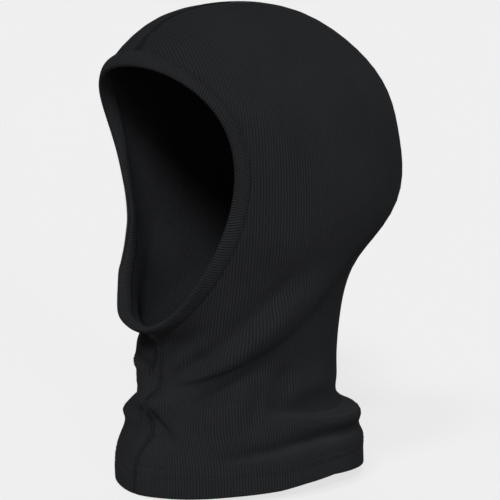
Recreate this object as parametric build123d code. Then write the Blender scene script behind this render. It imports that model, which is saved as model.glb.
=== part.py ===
from build123d import *
import os
import numpy as np

# Knitted hood: two mirror-image side panels, flatlocked along crown and throat,
# a folded rib band around the face and a turned-up hem.  Millimetres.
# Front of the hood looks along -Y, wearer's left is +X, the hem rests on z = 0.

# ---- cloth and seam dimensions -------------------------------------------------
CLOTH = 1.6            # thickness of the side panel knit
SEAM_GAP = 0.2         # the panels butt edge to edge under the flatlock
BAND_WIDTH = 11.0      # visible width of the face band
BAND_CLOTH = 1.25      # one layer of the folded band
BAND_FOLD = 0.75       # mid-layer radius of the fold at the face edge
STITCH_IN = 1.8        # topstitch row, in from the band's seam edge
BAND_JOIN_GAP = 0.4    # the band is one strip, its ends meet under the chin
HEM_TURN = 20.0        # height of the turned-up hem
HEM_FOLD = 0.95        # half the distance between the two hem layers' mid-planes
FLATLOCK_WIDTH = 4.8   # ladder stitch width
THREAD = 0.5           # laid thickness of a thread row
CLEAR = 0.2            # air between stacked layers
HEM_ROW_HIGH = 19.0    # twin needle rows above the hem edge
HEM_ROW_LOW = 13.0
ROW_WIDTH = 1.2
LABEL_WIDTH = 24.0
LABEL_DROP = 32.0
LABEL_THICK = 0.25
LABEL_GAP = 0.7
ORIGIN_SHIFT = -20.8   # sets the footprint's centre over the origin

# ---- form: rings from the face edge, back over the head, down to the hem --------
# each ring: front point (y, z), back point (y, z), half width, set-back of the
# sides, top-heaviness, squareness, chin flatness
RINGS = np.array([
    [-82, 108, -88, 283, 66, 35, -0.35, 0.15, 0.22],    # face edge
    [-77, 101, -80, 296, 72, 33, -0.25, 0.08, 0.20],
    [-70, 95, -54, 313, 79, 29, -0.15, 0.02, 0.12],
    [-65, 90, -10, 322, 83, 24, -0.05, 0.0, 0.06],      # top of the crown
    [-63, 85, 45, 317, 85, 16, 0.0, 0.0, 0.0],
    [-62, 80, 92, 289, 85, 8, 0.0, 0.0, 0.0],
    [-62, 75, 120, 247, 82, 2, 0.0, 0.0, 0.0],
    [-62, 71, 128, 203, 77, -4, 0.0, 0.0, 0.0],         # back of the head
    [-63, 67, 104, 158, 69, -7, 0.0, 0.0, 0.0],
    [-68, 63, 80, 121, 64, -5, 0.0, 0.0, 0.0],          # nape
    [-76, 57, 75, 87, 61, -1, 0.0, 0.0, 0.0],
    [-74, 47, 76, 61, 64, 0, 0.0, 0.0, 0.0],
    [-75, 35, 87, 45, 69, 0, 0.0, 0.0, 0.0],
    [-84, 20, 94, 25, 74, 0, 0.0, 0.0, 0.0],            # top of the hem
    [-86, 1.75, 95, 1.75, 76, 0, 0.0, 0.0, 0.0],        # hem fold
])

# ---- soft folds of the neck: angle around from the front (deg) -> height --------
# height, outward push, half width and the angles they live between
FOLDS = [
    # diagonal roll rising from the throat to below the ear
    dict(angle=(0, 30, 52, 67, 81, 95, 120), height=(66, 81, 97, 110, 121, 131, 142),
         push=4.5, spread=8.0, start=4, full=30, fade=80, end=118),
    # crease tucked under that roll
    dict(angle=(30, 45, 54, 63, 79, 95), height=(68, 76, 85, 94, 108, 120),
         push=-3.2, spread=4.0, start=26, full=46, fade=74, end=98),
    # long horizontal crease above the hem
    dict(angle=(30, 54, 88, 110, 139, 165), height=(27, 29, 33, 35, 32, 30),
         push=-2.2, spread=4.5, start=30, full=62, fade=125, end=165),
    # soft roll between the two
    dict(angle=(10, 60, 100, 150), height=(52, 50, 46, 44),
         push=2.0, spread=8.0, start=8, full=50, fade=120, end=160),
]


def spline(rows, at):
    """Natural cubic through rows (index = parameter), evaluated at `at`."""
    n = len(rows)
    a = np.zeros((n, n))
    rhs = np.zeros_like(rows, dtype=float)
    a[0, 0] = a[-1, -1] = 1
    for i in range(1, n - 1):
        a[i, i - 1:i + 2] = 1, 4, 1
        rhs[i] = 6 * (rows[i - 1] - 2 * rows[i] + rows[i + 1])
    m = np.linalg.solve(a, rhs)
    i = np.clip(np.floor(at).astype(int), 0, n - 2)
    u = (at - i)[..., None]
    return (rows[i] * (1 - u) + rows[i + 1] * u
            + ((1 - u) ** 3 - (1 - u)) * m[i] / 6 + (u ** 3 - u) * m[i + 1] / 6)


def ease(x):
    x = np.clip(x, 0, 1)
    return x * x * (3 - 2 * x)


def base(s, t):
    """Point on the left half of the form; s ring number, t 0 (throat) to pi (crown)."""
    c = spline(RINGS, s)
    fy, fz, by, bz, wide, bow, heavy, square, chin = np.moveaxis(c, -1, 0)
    ly, lz = by - fy, bz - fz
    length = np.hypot(ly, lz)
    ey, ez = ly / length, lz / length
    side = t + heavy * np.sin(t) + square * np.sin(2 * t)
    back = t - chin * (1 + np.cos(t)) / 2 * np.sin(t)
    push = bow * np.sin(back) ** 2
    y = (fy + by) / 2 - np.cos(t) * ly / 2 + push * ez
    z = (fz + bz) / 2 - np.cos(t) * lz / 2 - push * ey
    return np.stack([wide * np.sin(side), y, z], -1)


def normals(fn, s, t):
    """Unit normals pointing out of the hood."""
    ds, dt = 1e-3, 1e-3
    u = fn(s + ds, t) - fn(s - ds, t)
    v = fn(s, t + dt) - fn(s, t - dt)
    n = np.cross(u, v)
    return n / np.linalg.norm(n, axis=-1, keepdims=True)


def fold_push(p):
    """Outward push of all folds at the given points."""
    angle = np.degrees(np.arctan2(np.abs(p[..., 0]), -p[..., 1]))
    total = np.zeros(angle.shape)
    for f in FOLDS:
        height = np.interp(angle, f["angle"], f["height"])
        live = ease((angle - f["start"]) / (f["full"] - f["start"]))
        live = live * (1 - ease((angle - f["fade"]) / (f["end"] - f["fade"])))
        total += f["push"] * live * np.exp(-((p[..., 2] - height) / f["spread"]) ** 2)
    return total


def form(s, t):
    p = base(s, t)
    return p + normals(base, s, t) * fold_push(p)[..., None]


# ---- arclength along s, so bands keep a true width -----------------------------
S_LAST = len(RINGS) - 1.0
S_FINE = np.linspace(0, S_LAST, 700)


def s_at_distance(t, distance):
    """Ring parameter at a given cloth distance from the face edge."""
    out = np.zeros(len(t))
    for k, tk in enumerate(t):
        line = form(S_FINE, np.full(len(S_FINE), tk))
        run = np.concatenate([[0], np.cumsum(np.linalg.norm(np.diff(line, axis=0), axis=1))])
        out[k] = np.interp(distance, run, S_FINE)
    return out


def s_at_height(t, height):
    """Ring parameter where the lower neck reaches a given height above the hem."""
    out = np.zeros(len(t))
    fine = S_FINE[S_FINE > 11.5]
    for k, tk in enumerate(t):
        z = form(fine, np.full(len(fine), tk))[:, 2]
        out[k] = np.interp(-height, -z, fine)
    return out


def t_at_x(s, x, crown):
    """Angle t at which the form is |x| away from the centre plane."""
    t = np.zeros(len(s))
    for k in range(len(s)):
        low, high = 0.0, 0.5
        for _ in range(40):
            mid = (low + high) / 2
            tk = np.pi - mid if crown else mid
            if base(np.array([s[k]]), np.array([tk]))[0, 0] < abs(x):
                low = mid
            else:
                high = mid
        t[k] = np.pi - low if crown else low
    return t


# ---- solids -------------------------------------------------------------------
def edge_through(points):
    vectors = [Vector(*map(float, q)) for q in points]
    if len(vectors) == 2:
        return Edge.make_line(*vectors)
    steps = [float(v) for v in np.linspace(0, 1, len(vectors))]
    return Edge.make_spline(vectors, parameters=steps)


def loft_sections(sections):
    """Each section is a list of point runs that close into one outline."""
    wires = [Wire([edge_through(run) for run in runs]) for runs in sections]
    return Solid.make_loft(wires)


def slab(outer, inner):
    """Solid between two point grids of the same shape, lofted column by column."""
    sections = []
    for j in range(outer.shape[1]):
        top, bottom = outer[:, j], inner[::-1, j]
        sections.append([top, [top[-1], bottom[0]], bottom, [bottom[-1], top[0]]])
    return loft_sections(sections)


def centred(v):
    """Keep the open edges of a half square to the centre plane."""
    v = v.copy()
    v[..., [0, -1], 0] = 0
    return v


def unit(v):
    return v / np.linalg.norm(v, axis=-1, keepdims=True)


def side_panel(mirror):
    """One side of the hood: single cloth from the face band down to the hem fold,
    then turned up inside as the second hem layer."""
    t = np.linspace(0, np.pi, 49)
    start = s_at_distance(t, BAND_WIDTH + 0.3)
    end = s_at_height(t, RINGS[-1, 1] + 0.01)

    def run(s, offset, flat_end=None):
        tt = np.broadcast_to(t, s.shape)
        p = form(s, tt) + unit(centred(normals(form, s, tt))) * offset
        p = centred(p)
        if flat_end is not None:
            p[flat_end, :, 2] = 0
        p[..., 0] = (p[..., 0] + SEAM_GAP / 2) * mirror
        return p

    u = np.linspace(0, 1, 86)[:, None]
    outside = run(start + (end - start) * u, CLOTH / 2, flat_end=-1)
    short = s_at_height(t, 2.4)
    inside = run(start + (short - start) * u, -CLOTH / 2)
    heights = [np.array([s_at_height(t, z) for z in np.linspace(low, HEM_TURN, 9)])
               for low in (RINGS[-1, 1] + 0.01, 2.4)]
    turn_in = run(heights[0], -2 * HEM_FOLD - CLOTH / 2, flat_end=0)
    turn_out = run(heights[1], -2 * HEM_FOLD + CLOTH / 2)
    sections = []
    for j in range(len(t)):
        a, b, c, d = outside[:, j], turn_in[:, j], turn_out[::-1, j], inside[::-1, j]
        sections.append([a, [a[-1], b[0]], b, [b[-1], c[0]], c, [c[-1], d[0]], d, [d[-1], a[0]]])
    return loft_sections(sections)


def around(t):
    """Angle measured all the way round the hood -> left-half angle and side."""
    return np.where(t <= np.pi, t, 2 * np.pi - t), np.where(t <= np.pi, 1.0, -1.0)


def flat_ends(q):
    """The two ends of a closed strip are cut flat, just off the centre plane."""
    q[:, 0, 0] = BAND_JOIN_GAP / 2
    q[:, -1, 0] = -BAND_JOIN_GAP / 2
    return q


def ring_grid(s_rows, t, offset):
    """Points on a full ring; offset along the outward normal, per row or per point."""
    half, side = around(t)
    s = np.array(s_rows)
    tt = np.broadcast_to(half, s.shape)
    p, n = form(s, tt), normals(form, s, tt)
    q = p + n * np.broadcast_to(np.array(offset), s.shape)[..., None]
    q[..., 0] *= side
    return flat_ends(q)


def face_band():
    """Rib strip folded round the free edge of the face opening."""
    gap = BAND_JOIN_GAP / 2 / 60
    t = np.linspace(gap, 2 * np.pi - gap, 97)
    half, side = around(t)
    rim = BAND_FOLD + BAND_CLOTH / 2
    p, n = [], []
    for d in np.linspace(BAND_WIDTH, rim, 7):
        s = s_at_distance(half, d)
        q, m = form(s, half), normals(form, s, half)
        q[..., 0] *= side
        m[..., 0] *= side
        p.append(q)
        n.append(m)
    p, n = np.array(p), np.array(n)
    along = p[-1] - p[-2]
    along = unit(along - n[-1] * np.sum(along * n[-1], axis=-1, keepdims=True))
    big, small = BAND_FOLD + BAND_CLOTH / 2, BAND_FOLD - BAND_CLOTH / 2

    def fold(radius):
        turns = np.radians(np.linspace(0, 180, 9))[:, None, None]
        return flat_ends(p[-1] + radius * (np.cos(turns) * n[-1] + np.sin(turns) * along))
    rims = fold(big), fold(small)
    skins = [flat_ends(p + r * n) for r in (big, -big, -small, small)]
    sections = []
    for j in range(len(t)):
        a, b, c, d = skins[0][:, j], skins[1][::-1, j], skins[2][:, j], skins[3][::-1, j]
        out_arc, in_arc = rims[0][:, j], rims[1][::-1, j]
        sections.append([a, out_arc, b, [b[-1], c[0]], c, in_arc, d, [d[-1], a[0]]])
    return loft_sections(sections)


def lift_over_seams(t, extra, reach=0.105):
    """Extra height where a ring of thread climbs over the flatlock seams."""
    half, _ = around(t)
    near = np.minimum(half, np.pi - half)
    return extra * (1 - ease((near - 0.45 * reach) / (0.55 * reach)))


def ring_rows(rows, low, lifted=0.0, thick=THREAD, count=121, gap=0.012):
    """Thread laid around the hood between two s-functions of t."""
    t = np.linspace(gap, 2 * np.pi - gap, count)
    half, _ = around(t)
    s = [f(half) for f in rows]
    lift = lift_over_seams(t, lifted)
    sign = 1 if low > 0 else -1
    a = ring_grid(s, t, low + sign * lift)
    b = ring_grid(s, t, low + sign * (lift + thick))
    return slab(b, a) if low > 0 else slab(a, b)


def seam_strip(crown, s_start, s_end, low, thick=THREAD, half_width=FLATLOCK_WIDTH / 2, rows=60):
    """Flatlock ladder laid over the butted panel edges."""
    s = np.linspace(s_start, s_end, rows)
    columns = np.linspace(-half_width, half_width, 5)
    a, b = [], []
    for x in columns:
        t = t_at_x(s, x, crown)
        p, n = form(s, t), normals(form, s, t)
        if x < 0:
            p[:, 0] *= -1
            n[:, 0] *= -1
        for grid, height in ((a, low), (b, low + np.sign(low) * thick)):
            q = p + n * height
            q[:, 0] = x
            grid.append(q)
    a, b = np.array(a).transpose(1, 0, 2), np.array(b).transpose(1, 0, 2)
    return slab(b, a) if low > 0 else slab(a, b)


SURFACE = CLOTH / 2 + CLEAR                     # first thread layer over the panel
BAND_SURFACE = BAND_FOLD + BAND_CLOTH / 2 + CLEAR


def at_distance(d):
    return lambda half: s_at_distance(half, d)


def at_height(z):
    return lambda half: s_at_height(half, z)


def one(fn, value):
    return float(fn(np.array([value]))[0])


parts = {}
parts["left_side_panel"] = side_panel(1)
parts["right_side_panel"] = side_panel(-1)
parts["face_binding"] = face_band()

edge = BAND_WIDTH + 0.6
parts["crown_seam_outer"] = seam_strip(True, one(at_distance(edge), np.pi),
                                       one(at_height(1.9), np.pi), SURFACE, rows=80)
parts["crown_seam_inner"] = seam_strip(True, one(at_distance(edge + 5.0), np.pi),
                                       one(at_height(HEM_TURN + 1.5), np.pi), -SURFACE, rows=80)
parts["throat_seam_outer"] = seam_strip(False, one(at_distance(edge), 0),
                                        one(at_height(1.9), 0), SURFACE)
parts["throat_seam_inner"] = seam_strip(False, one(at_distance(edge + 5.0), 0),
                                        one(at_height(HEM_TURN + 1.5), 0), -SURFACE)

stacked = THREAD + CLEAR
parts["binding_topstitch"] = ring_rows([at_distance(BAND_WIDTH - STITCH_IN - 0.6),
                                        at_distance(BAND_WIDTH - STITCH_IN + 0.6)], BAND_SURFACE)
parts["binding_overlock"] = ring_rows([at_distance(BAND_WIDTH + d) for d in (0.8, 1.8, 2.8, 3.8, 4.8)],
                                      -SURFACE)
parts["binding_join_stitch"] = seam_strip(False, one(at_distance(1.6), 0), one(at_distance(8.2), 0),
                                          BAND_SURFACE, half_width=1.0, rows=12)

w = ROW_WIDTH / 2
parts["hem_stitch_upper"] = ring_rows([at_height(HEM_ROW_HIGH + w), at_height(HEM_ROW_HIGH - w)],
                                      SURFACE, stacked)
parts["hem_stitch_lower"] = ring_rows([at_height(HEM_ROW_LOW + w), at_height(HEM_ROW_LOW - w)],
                                      SURFACE, stacked)
inside_hem = -(2 * HEM_FOLD + SURFACE)
parts["hem_stitch_inside"] = ring_rows([at_height(z) for z in (HEM_ROW_HIGH + w, 18.0, 16.0, 14.0,
                                                               HEM_ROW_LOW - w)], inside_hem)


def label():
    """Blank folded care label hanging inside the nape, and the row holding it."""
    top = form(np.array([one(at_height(54), np.pi)]), np.array([np.pi]))[0]
    y = top[1] - CLOTH / 2 - CLEAR - 2 * THREAD - 1.2
    body = Pos(0, y - LABEL_GAP / 2 - LABEL_THICK, top[2] - LABEL_DROP / 2) * Box(
        LABEL_WIDTH, 2 * LABEL_THICK + LABEL_GAP, LABEL_DROP)
    slot = Pos(0, y - LABEL_GAP / 2 - LABEL_THICK, top[2] - LABEL_DROP / 2 + 1.5) * Box(
        LABEL_WIDTH + 2, LABEL_GAP, LABEL_DROP - LABEL_THICK * 2 + 0.0)
    row = Pos(0, y - 2 * LABEL_THICK - LABEL_GAP - CLEAR - 0.2, top[2] - 3) * Box(
        LABEL_WIDTH - 3, 0.4, 1.0)
    return body - slot, row


parts["care_label"], parts["label_stitch"] = label()

os.makedirs("parts", exist_ok=True)
for name, shape in parts.items():
    shape = Pos(0, ORIGIN_SHIFT, 0) * shape
    export_step(shape, os.path.join("parts", name + ".step"))
    box = shape.bounding_box()
    print(name, "valid", shape.is_valid if not callable(shape.is_valid) else shape.is_valid(),
          "volume %.0f" % shape.volume, "area %.0f" % shape.area,
          [round(v, 1) for v in (*box.min, *box.max)])
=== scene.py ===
"""Knitted open-face hood: the looks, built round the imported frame.  Lengths are
worked out in millimetres and scaled to metres when a mesh is made."""
import math
import bpy
import numpy as np
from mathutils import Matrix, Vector, kdtree


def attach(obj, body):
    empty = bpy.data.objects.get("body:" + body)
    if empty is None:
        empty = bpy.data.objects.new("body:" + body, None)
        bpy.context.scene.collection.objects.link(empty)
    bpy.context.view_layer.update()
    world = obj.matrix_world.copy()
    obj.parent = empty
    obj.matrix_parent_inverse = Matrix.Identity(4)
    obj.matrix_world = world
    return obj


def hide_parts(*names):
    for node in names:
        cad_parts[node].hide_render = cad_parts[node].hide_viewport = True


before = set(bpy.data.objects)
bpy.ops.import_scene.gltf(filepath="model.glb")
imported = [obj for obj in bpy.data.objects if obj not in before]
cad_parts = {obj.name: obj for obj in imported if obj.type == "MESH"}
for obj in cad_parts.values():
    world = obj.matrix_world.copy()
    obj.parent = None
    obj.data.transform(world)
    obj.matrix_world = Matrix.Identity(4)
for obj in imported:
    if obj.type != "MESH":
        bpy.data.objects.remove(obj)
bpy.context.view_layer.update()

MM = 0.001
# ---- cloth and seams (mm) ----
CLOTH = 1.3             # knit thickness between the relief's mid lines
RIB_PITCH = 1.95
RIB_RELIEF = 0.40       # half the height between groove and rib
COLUMNS_PER_RIB = 4
ROW_STEPS = ((22, 1.5), (140, 2.3), (400, 8.5))   # along the ribs: up to v, in steps of
UNDER_BAND = 2.6        # the panels run this far under the band
BAND_STEP = 0.75        # and are pressed in by this much there
SEAM_STEP = 0.25        # pressed in beside the centre seams
PRESS_FADE = 2.6        # width over which that dies out
ROW_DENT, ROW_DENT_REACH = 0.45, 1.6
INNER_PAINTED_LIGHT = 0.35      # painted light: the inner face is coloured this much paler than the outer one, lighting the inside of the hood

HEM_TURN = 20.0
HEM_FOLD = 0.98         # radius of the turned edge
HEM_ARC = 3.1           # cloth length round it
HEM_ARC_ANGLES = (30, 60, 90, 120, 150, 180)
HEM_ROWS = (19.0, 13.0)
HEM_INNER_ROWS = (1, 4, 8, 13)      # rows of the grid that the turned-up cloth follows
HEM_CLOSE_HEIGHT, HEM_CLOSE_REACH = 16.0, 2.0

BAND_WIDTH = 11.0
BAND_FOLD = 0.8
BAND_CLOTH = 1.0
BAND_PITCH = 1.9
BAND_RELIEF = 0.42
BAND_COLUMNS_PER_RIB = 4
BAND_PUFF, BAND_EDGE = 1.2, 1.1     # roundness of the band, and how far its sewn edge sinks
# rows of the band's grid: distances from the rim outside, degrees round it, and inside
BAND_OUTER = (11.0, 10.5, 10.0, 9.2, 8.4, 7.4, 6.2, 5.0, 3.8, 2.6, 1.6)
BAND_RIM = (15, 45, 75, 105, 135, 165)
BAND_INNER = (1.8, 3.4, 5.4, 7.4, 9.4, 11.0)
STITCH_IN = 1.8         # topstitch to sewn edge
EDGE = BAND_WIDTH - 0.6             # where the seams come out from under the band

LADDER_WIDTH = 4.8
LADDER_PITCH = 1.9
CHAIN_PITCH = 2.0
LADDER_OUT, LADDER_IN = 0.78, -0.95     # height of the seams' threads over the cloth
LADDER_THREAD = 0.27
LADDER_STEPS = 1200
TUBE_SIDES = 6
BAND_STITCH, HEM_STITCH = 2.4, 2.7      # stitch lengths
FINE_THREAD = 0.22

LABEL_WIDTH, LABEL_DROP = 24.0, 31.0
LABEL_BEND = 0.55       # radius of its fold
LABEL_CLOTH = 0.34
LABEL_HEIGHT, LABEL_OFF_WALL = 54, 3.4

# ---- form: the same rings as the solid parts ----
# front point (y, z), back point (y, z), half width, set-back of the sides,
# top-heaviness, squareness, chin flatness
RINGS = np.array([
    [-82, 108, -88, 283, 66, 35, -0.35, 0.15, 0.22],
    [-77, 101, -80, 296, 72, 33, -0.25, 0.08, 0.20],
    [-70, 95, -54, 313, 79, 29, -0.15, 0.02, 0.12],
    [-65, 90, -10, 322, 83, 24, -0.05, 0.0, 0.06],
    [-63, 85, 45, 317, 85, 16, 0.0, 0.0, 0.0],
    [-62, 80, 92, 289, 85, 8, 0.0, 0.0, 0.0],
    [-62, 75, 120, 247, 82, 2, 0.0, 0.0, 0.0],
    [-62, 71, 128, 203, 77, -4, 0.0, 0.0, 0.0],
    [-63, 67, 104, 158, 69, -7, 0.0, 0.0, 0.0],
    [-68, 63, 80, 121, 64, -5, 0.0, 0.0, 0.0],
    [-76, 57, 75, 87, 61, -1, 0.0, 0.0, 0.0],
    [-74, 47, 76, 61, 64, 0, 0.0, 0.0, 0.0],
    [-75, 35, 87, 45, 69, 0, 0.0, 0.0, 0.0],
    [-84, 20, 94, 25, 74, 0, 0.0, 0.0, 0.0],
    [-86, 1.75, 95, 1.75, 76, 0, 0.0, 0.0, 0.0],
])
ORIGIN_SHIFT = -20.8    # y of the rings' origin in the shared frame
S_LAST = len(RINGS) - 1.0


def spline_moments(rows):
    """Second derivatives of the natural cubic spline through the rings."""
    n = len(rows)
    a = np.zeros((n, n))
    rhs = np.zeros_like(rows, dtype=float)
    a[0, 0] = a[-1, -1] = 1
    for i in range(1, n - 1):
        a[i, i - 1:i + 2] = 1, 4, 1
        rhs[i] = 6 * (rows[i - 1] - 2 * rows[i] + rows[i + 1])
    return np.linalg.solve(a, rhs)


MOMENTS = spline_moments(RINGS)


def ring_at(s):
    i = np.clip(np.floor(s).astype(int), 0, len(RINGS) - 2)
    u = (s - i)[..., None]
    return (RINGS[i] * (1 - u) + RINGS[i + 1] * u
            + ((1 - u) ** 3 - (1 - u)) * MOMENTS[i] / 6 + (u ** 3 - u) * MOMENTS[i + 1] / 6)


def ease(x):
    x = np.clip(x, 0, 1)
    return x * x * (3 - 2 * x)


def bell(x):
    return np.exp(-x * x)


def unit(v):
    return v / (np.linalg.norm(v, axis=-1, keepdims=True) + 1e-12)


def rim_settle(s, t):
    """How the worn face edge lies: tucked under the chin, straight back at the cheeks,
    low on the brow.  s counts rings back from the edge, t goes from chin to brow."""
    behind = ease(s / 1.1) * (1 - ease((s - 1.3) / 2.5))
    under = ease(s / 1.2) * (1 - ease((s - 2.2) / 3.2)) * (1 - ease(t / 1.5))
    cheek = behind * ease((t - 0.2) / 0.6) * (1 - ease((t - 2.2) / 0.7))
    corner = bell((t - 2.6) / 0.35) * (1 - ease((s - 1) / 4))
    drop = 1.0 * (1 - ease(s / 2)) + 2.2 * bell((s - 0.9) / 0.7)
    brow = drop * bell((t - np.pi) / 0.8)
    return np.stack([-3.9 * cheek - 2.3 * corner, 2.2 * under, 6.0 * under - brow], -1)


def base(s, t):
    """Smooth form of the left half; s ring number, t from 0 (throat) to pi (crown)."""
    c = ring_at(s)
    fy, fz, by, bz, wide, bow, heavy, square, chin = np.moveaxis(c, -1, 0)
    ly, lz = by - fy, bz - fz
    length = np.hypot(ly, lz)
    ey, ez = ly / length, lz / length
    side = t + heavy * np.sin(t) + square * np.sin(2 * t)
    back = t - chin * (1 + np.cos(t)) / 2 * np.sin(t)
    push = bow * np.sin(back) ** 2
    y = (fy + by) / 2 - np.cos(t) * ly / 2 + push * ez
    z = (fz + bz) / 2 - np.cos(t) * lz / 2 - push * ey
    settle = rim_settle(s, t)
    settle[..., 0] *= ease(np.sin(t) / 0.3)
    return np.stack([wide * np.sin(side), y, z], -1) + settle


def normals(s, t):
    """Outward normals, from differences."""
    step = 1e-3
    u = base(s + step, t) - base(s - step, t)
    v = base(s, t + step) - base(s, t - step)
    return unit(np.cross(u, v))


# ---- soft folds of the neck ----
# angle round from the front (deg) -> height; push outward; reach above (up) and below
# (down) the line; angles at which it starts, is full, fades and ends; which side of the
# hood ("L", "R", "LR").  push and down may change from angle to angle.
FOLDS = [
    # diagonal roll from the throat to behind the ear, and the trough under it
    dict(side="L", angle=(0, 13, 30, 41, 51, 60, 69, 80, 92, 110),
         height=(62, 68, 76.5, 83, 90.5, 100, 109.5, 121, 131, 141),
         push=(5.0, 5.8, 6.6, 6.4, 6.3, 6.3, 6.3, 6.3, 6.3, 6.3), up=10,
         down=(7, 7, 8, 9.5, 11, 13, 15, 18, 22, 24), start=2, full=24, fade=68, end=112),
    dict(side="R", angle=(0, 13, 30, 41, 51, 60, 69),
         height=(59, 65.5, 74, 80.5, 89, 98.5, 108),
         push=5.5, up=11, down=9, start=3, full=30, fade=46, end=70),
    dict(side="L", angle=(8, 20, 33, 41, 51, 60, 69, 80, 92),
         height=(56, 59.5, 64, 67.5, 71, 77, 84, 93, 104),
         push=(-2.5, -5.0, -8.2, -7.4, -5.5, -4, -3.2, -2, -1), up=8, down=12,
         start=0, full=18, fade=60, end=90),
    dict(side="R", angle=(8, 20, 33, 41, 51, 60, 69), height=(54, 56, 60, 66, 75, 83.5, 92),
         push=-4.2, up=9, down=9, start=4, full=26, fade=46, end=72),
    # the trough between the jaw and that roll
    dict(side="L", angle=(20, 30, 41, 51, 60, 69, 80, 95),
         height=(85, 88, 96, 106, 114.5, 124, 136, 148),
         push=-4.6, up=14, down=6.5, start=10, full=28, fade=64, end=104),
    # the second soft roll, a plateau down to the hem, and the cloth falling away behind it
    dict(side="LR", angle=(12, 33, 41, 50, 60, 68, 80), height=(34, 48, 55, 62, 69, 74, 78),
         push=4.8, up=8, down=30, start=14, full=36, fade=56, end=78),
    dict(side="L", angle=(84, 98, 112, 130), height=(64, 67, 68, 68),
         push=3.0, up=10, down=7, start=80, full=96, fade=104, end=130),
    # roll high at the throat, under the chin
    dict(side="LR", angle=(4, 10, 19, 30, 45), height=(81, 83, 88, 95, 104),
         push=3.4, up=7, down=6, start=6, full=18, fade=28, end=50),
    dict(side="LR", angle=(6, 20, 40), height=(73, 78, 86),
         push=-2.2, up=5, down=4.5, start=6, full=16, fade=28, end=46),
    # trough and roll low on the neck, round the back half
    dict(side="LR", angle=(60, 83, 99, 122, 150, 180), height=(54, 52.5, 49.5, 46, 45, 46),
         push=-2.4, up=5, down=3.5, start=62, full=86, fade=168, end=178),
    dict(side="LR", angle=(60, 83, 99, 122, 150, 180), height=(46, 45.5, 43, 40, 38.5, 39.5),
         push=3.2, up=4.5, down=7, start=56, full=90, fade=168, end=179),
    # long crease above the hem
    dict(side="L", angle=(40, 55, 68, 83, 100, 119, 134, 165),
         height=(23, 25.5, 27.5, 29.5, 31, 31.5, 30, 29),
         push=-6.2, up=5.5, down=4.5, start=28, full=64, fade=124, end=170),
    dict(side="R", angle=(30, 60, 90, 120, 150), height=(31, 33, 32, 29, 27),
         push=-2.3, up=3, down=4.6, start=30, full=64, fade=118, end=156),
    dict(side="LR", angle=(40, 100, 165), height=(20, 22, 21),
         push=0.9, up=4, down=7, start=40, full=90, fade=150, end=175),
]
# throat folds on the far side: tuck under the chin, roll, tuck, roll
for height, push, up, down, fade, end in (((95, 99), -4.0, 5, 5, 46, 70),
                                          ((74, 80), 2.6, 6, 6, 46, 70),
                                          ((53, 57), -5.8, 9, 5, 50, 76),
                                          ((44, 44), 3.0, 4, 6, 50, 76)):
    FOLDS.append(dict(side="R", angle=(0, 60), height=height, push=push, up=up, down=down,
                      start=6, full=26, fade=fade, end=end))
# shorter creases and lumps along a line between two points (angle, height); those
# marked seam run on the throat seam, the others stop short of it
CREASES = [
    dict(side="LR", a=(0, 92), b=(0, 74), push=2.0, wide=7, seam=True),
    dict(side="LR", a=(0, 42), b=(0, 36), push=-3.4, wide=6.0, seam=True),
    dict(side="L", a=(2, 49.5), b=(16, 35), push=-3.0, wide=3.6),
    dict(side="L", a=(11, 47), b=(25, 38), push=1.4, wide=3.4),
    dict(side="L", a=(63, 66), b=(63, 47), push=-2.6, wide=5.0),
    dict(side="L", a=(82, 76), b=(77, 54), push=-2.2, wide=6.0),
    dict(side="R", a=(4, 90), b=(16, 70), push=-2.6, wide=2.6),
    dict(side="R", a=(3, 52), b=(20, 46), push=-1.5, wide=2.4),
    dict(side="R", a=(8, 44), b=(14, 33), push=-1.2, wide=2.0),
]
# broad settling of the worn cloth: centre (angle, height), reach (deg, mm), push
SETTLE = [
    dict(side="LR", at=(142, 262), reach=(48, 32), push=4.3),
    dict(side="LR", at=(142, 145), reach=(46, 28), push=-7.2),
    dict(side="LR", at=(142, 53), reach=(46, 9), push=-5.5),
    dict(side="R", at=(54, 168), reach=(26, 32), push=-5.0),
    dict(side="R", at=(44, 103), reach=(14, 7), push=4.0),
    dict(side="LR", at=(80, 138), reach=(40, 22), push=-3.0),
]

AROUND = 1.15           # mm of cloth per degree at the neck
SEAM_CREASE_TOP, SEAM_CREASE_FADE = 103, 12
SMOOTH_NEAR_SEAM = 14   # x within which the slow unevenness dies out
SETTLE_NEAR_SEAM = 25   # and the broad settling


def along_fold(fold, key, angle):
    """A fold's value at each angle, whether it is one number or changes along it."""
    value = fold[key]
    return np.interp(angle, fold["angle"], value) if isinstance(value, tuple) else value


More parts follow.
